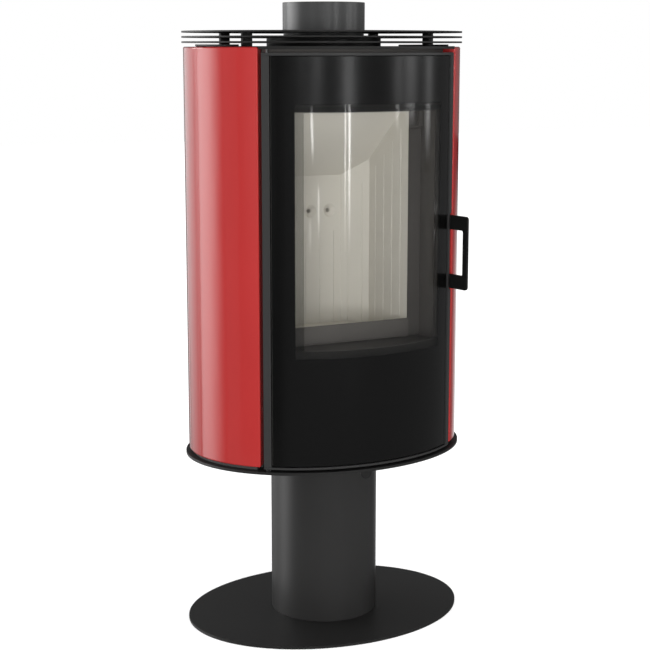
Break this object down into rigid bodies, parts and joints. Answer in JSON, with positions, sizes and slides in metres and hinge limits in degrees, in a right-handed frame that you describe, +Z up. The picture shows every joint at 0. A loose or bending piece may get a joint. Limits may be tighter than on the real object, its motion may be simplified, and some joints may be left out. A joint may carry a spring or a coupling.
{
  "type": "wood burning stove",
  "caption": "Oval wood burning stove with a tall curved glass door and glazed side panels, turning on a round pedestal over an oval base plate, with a vertical flue collar on top.",
  "frame": {"origin": "middle of the base plate's underside, on the pedestal's and the flue's common axis", "axes": "+Z up; the closed door faces -Y; +X is the door's handle side and -X its hinge side"},
  "size_m": [0.5394, 0.427, 1.154],
  "materials": {
    "black_paint": "satin",
    "brass_bearing": "bearing bronze, plain",
    "dark_steel": "matt heat-proof paint",
    "door_glass": "clear glass, black printed border",
    "iron": "as cast",
    "lining": "matt vermiculite board",
    "red_glaze": "high gloss glaze",
    "rope": "braided glass fibre",
    "steel": "brushed"
  },
  "bodies": {
    "pedestal": {"base_plate": "black_paint", "pedestal_tube": "black_paint", "pedestal_bolts": "steel", "swivel_slide_ring": "brass_bearing"},
    "stove_body": {"air_duct": "dark_steel", "air_inlet_disc": "steel", "ash_pan": "steel", "baffle_board": "lining", "body_top_plate": "black_paint", "bottom_plate": "black_paint", "firebox_bottom_plate": "dark_steel", "firebox_shell": "dark_steel", "firebox_supports": "dark_steel", "firebox_top_plate": "dark_steel", "flue_collar": "black_paint", "flue_shroud": "black_paint", "front_frame": "dark_steel", "grate": "iron", "grate_carrier_plate": "dark_steel", "hearth_ledge": "dark_steel", "hinge_pins": "steel", "hinge_washer": "steel", "inner_side_casings": "dark_steel", "latch_keeper": "steel", "left_panel": "red_glaze", "liner_back": "lining", "liner_corners": "lining", "liner_floor": "lining", "liner_left": "lining", "liner_right": "lining", "lining_brackets": "dark_steel", "log_guard": "dark_steel", "louvre_plate_lower": "black_paint", "louvre_plate_middle": "black_paint", "louvre_plate_upper": "black_paint", "louvre_screws": "black_paint", "louvre_spacers": "black_paint", "panel_brackets": "black_paint", "panel_rests": "dark_steel", "rear_air_channel": "dark_steel", "rear_casing": "black_paint", "rear_casing_screws": "black_paint", "right_panel": "red_glaze", "swivel_retaining_ring": "steel", "swivel_spigot": "steel"},
    "door": {"door_top_rail": "black_paint", "door_bottom_rail": "black_paint", "door_bar_left": "black_paint", "door_bar_right": "black_paint", "door_inner_frame": "dark_steel", "door_glass": "door_glass", "glass_tape": "rope", "door_seal_rope": "rope", "glass_clips": "steel", "glass_clip_screws": "steel"},
    "handle": {"door_handle": "black_paint", "handle_spindle": "steel", "latch_tongue": "steel"},
    "air_control": {"air_shutter": "steel", "air_lever_tab": "black_paint"}
  },
  "joints": [
    {"name": "body_swivel", "type": "hinge", "parent": "pedestal", "child": "stove_body", "pos_m": [0, 0, 0.324], "axis": [0, 0, 1], "range_deg": [-90, 90]},
    {"name": "door_hinge", "type": "hinge", "parent": "stove_body", "child": "door", "pos_m": [-0.1805, -0.1395, 0.7], "axis": [0, 0, 1], "range_deg": [-105, 0]},
    {"name": "handle_pivot", "type": "hinge", "parent": "door", "child": "handle", "pos_m": [0.18477, -0.1388, 0.70275], "axis": [0, 0, 1], "range_deg": [0, 15]},
    {"name": "air_lever", "type": "hinge", "parent": "stove_body", "child": "air_control", "pos_m": [0, 0, 0.3343], "axis": [0, 0, 1], "range_deg": [-15, 15]}
  ]
}
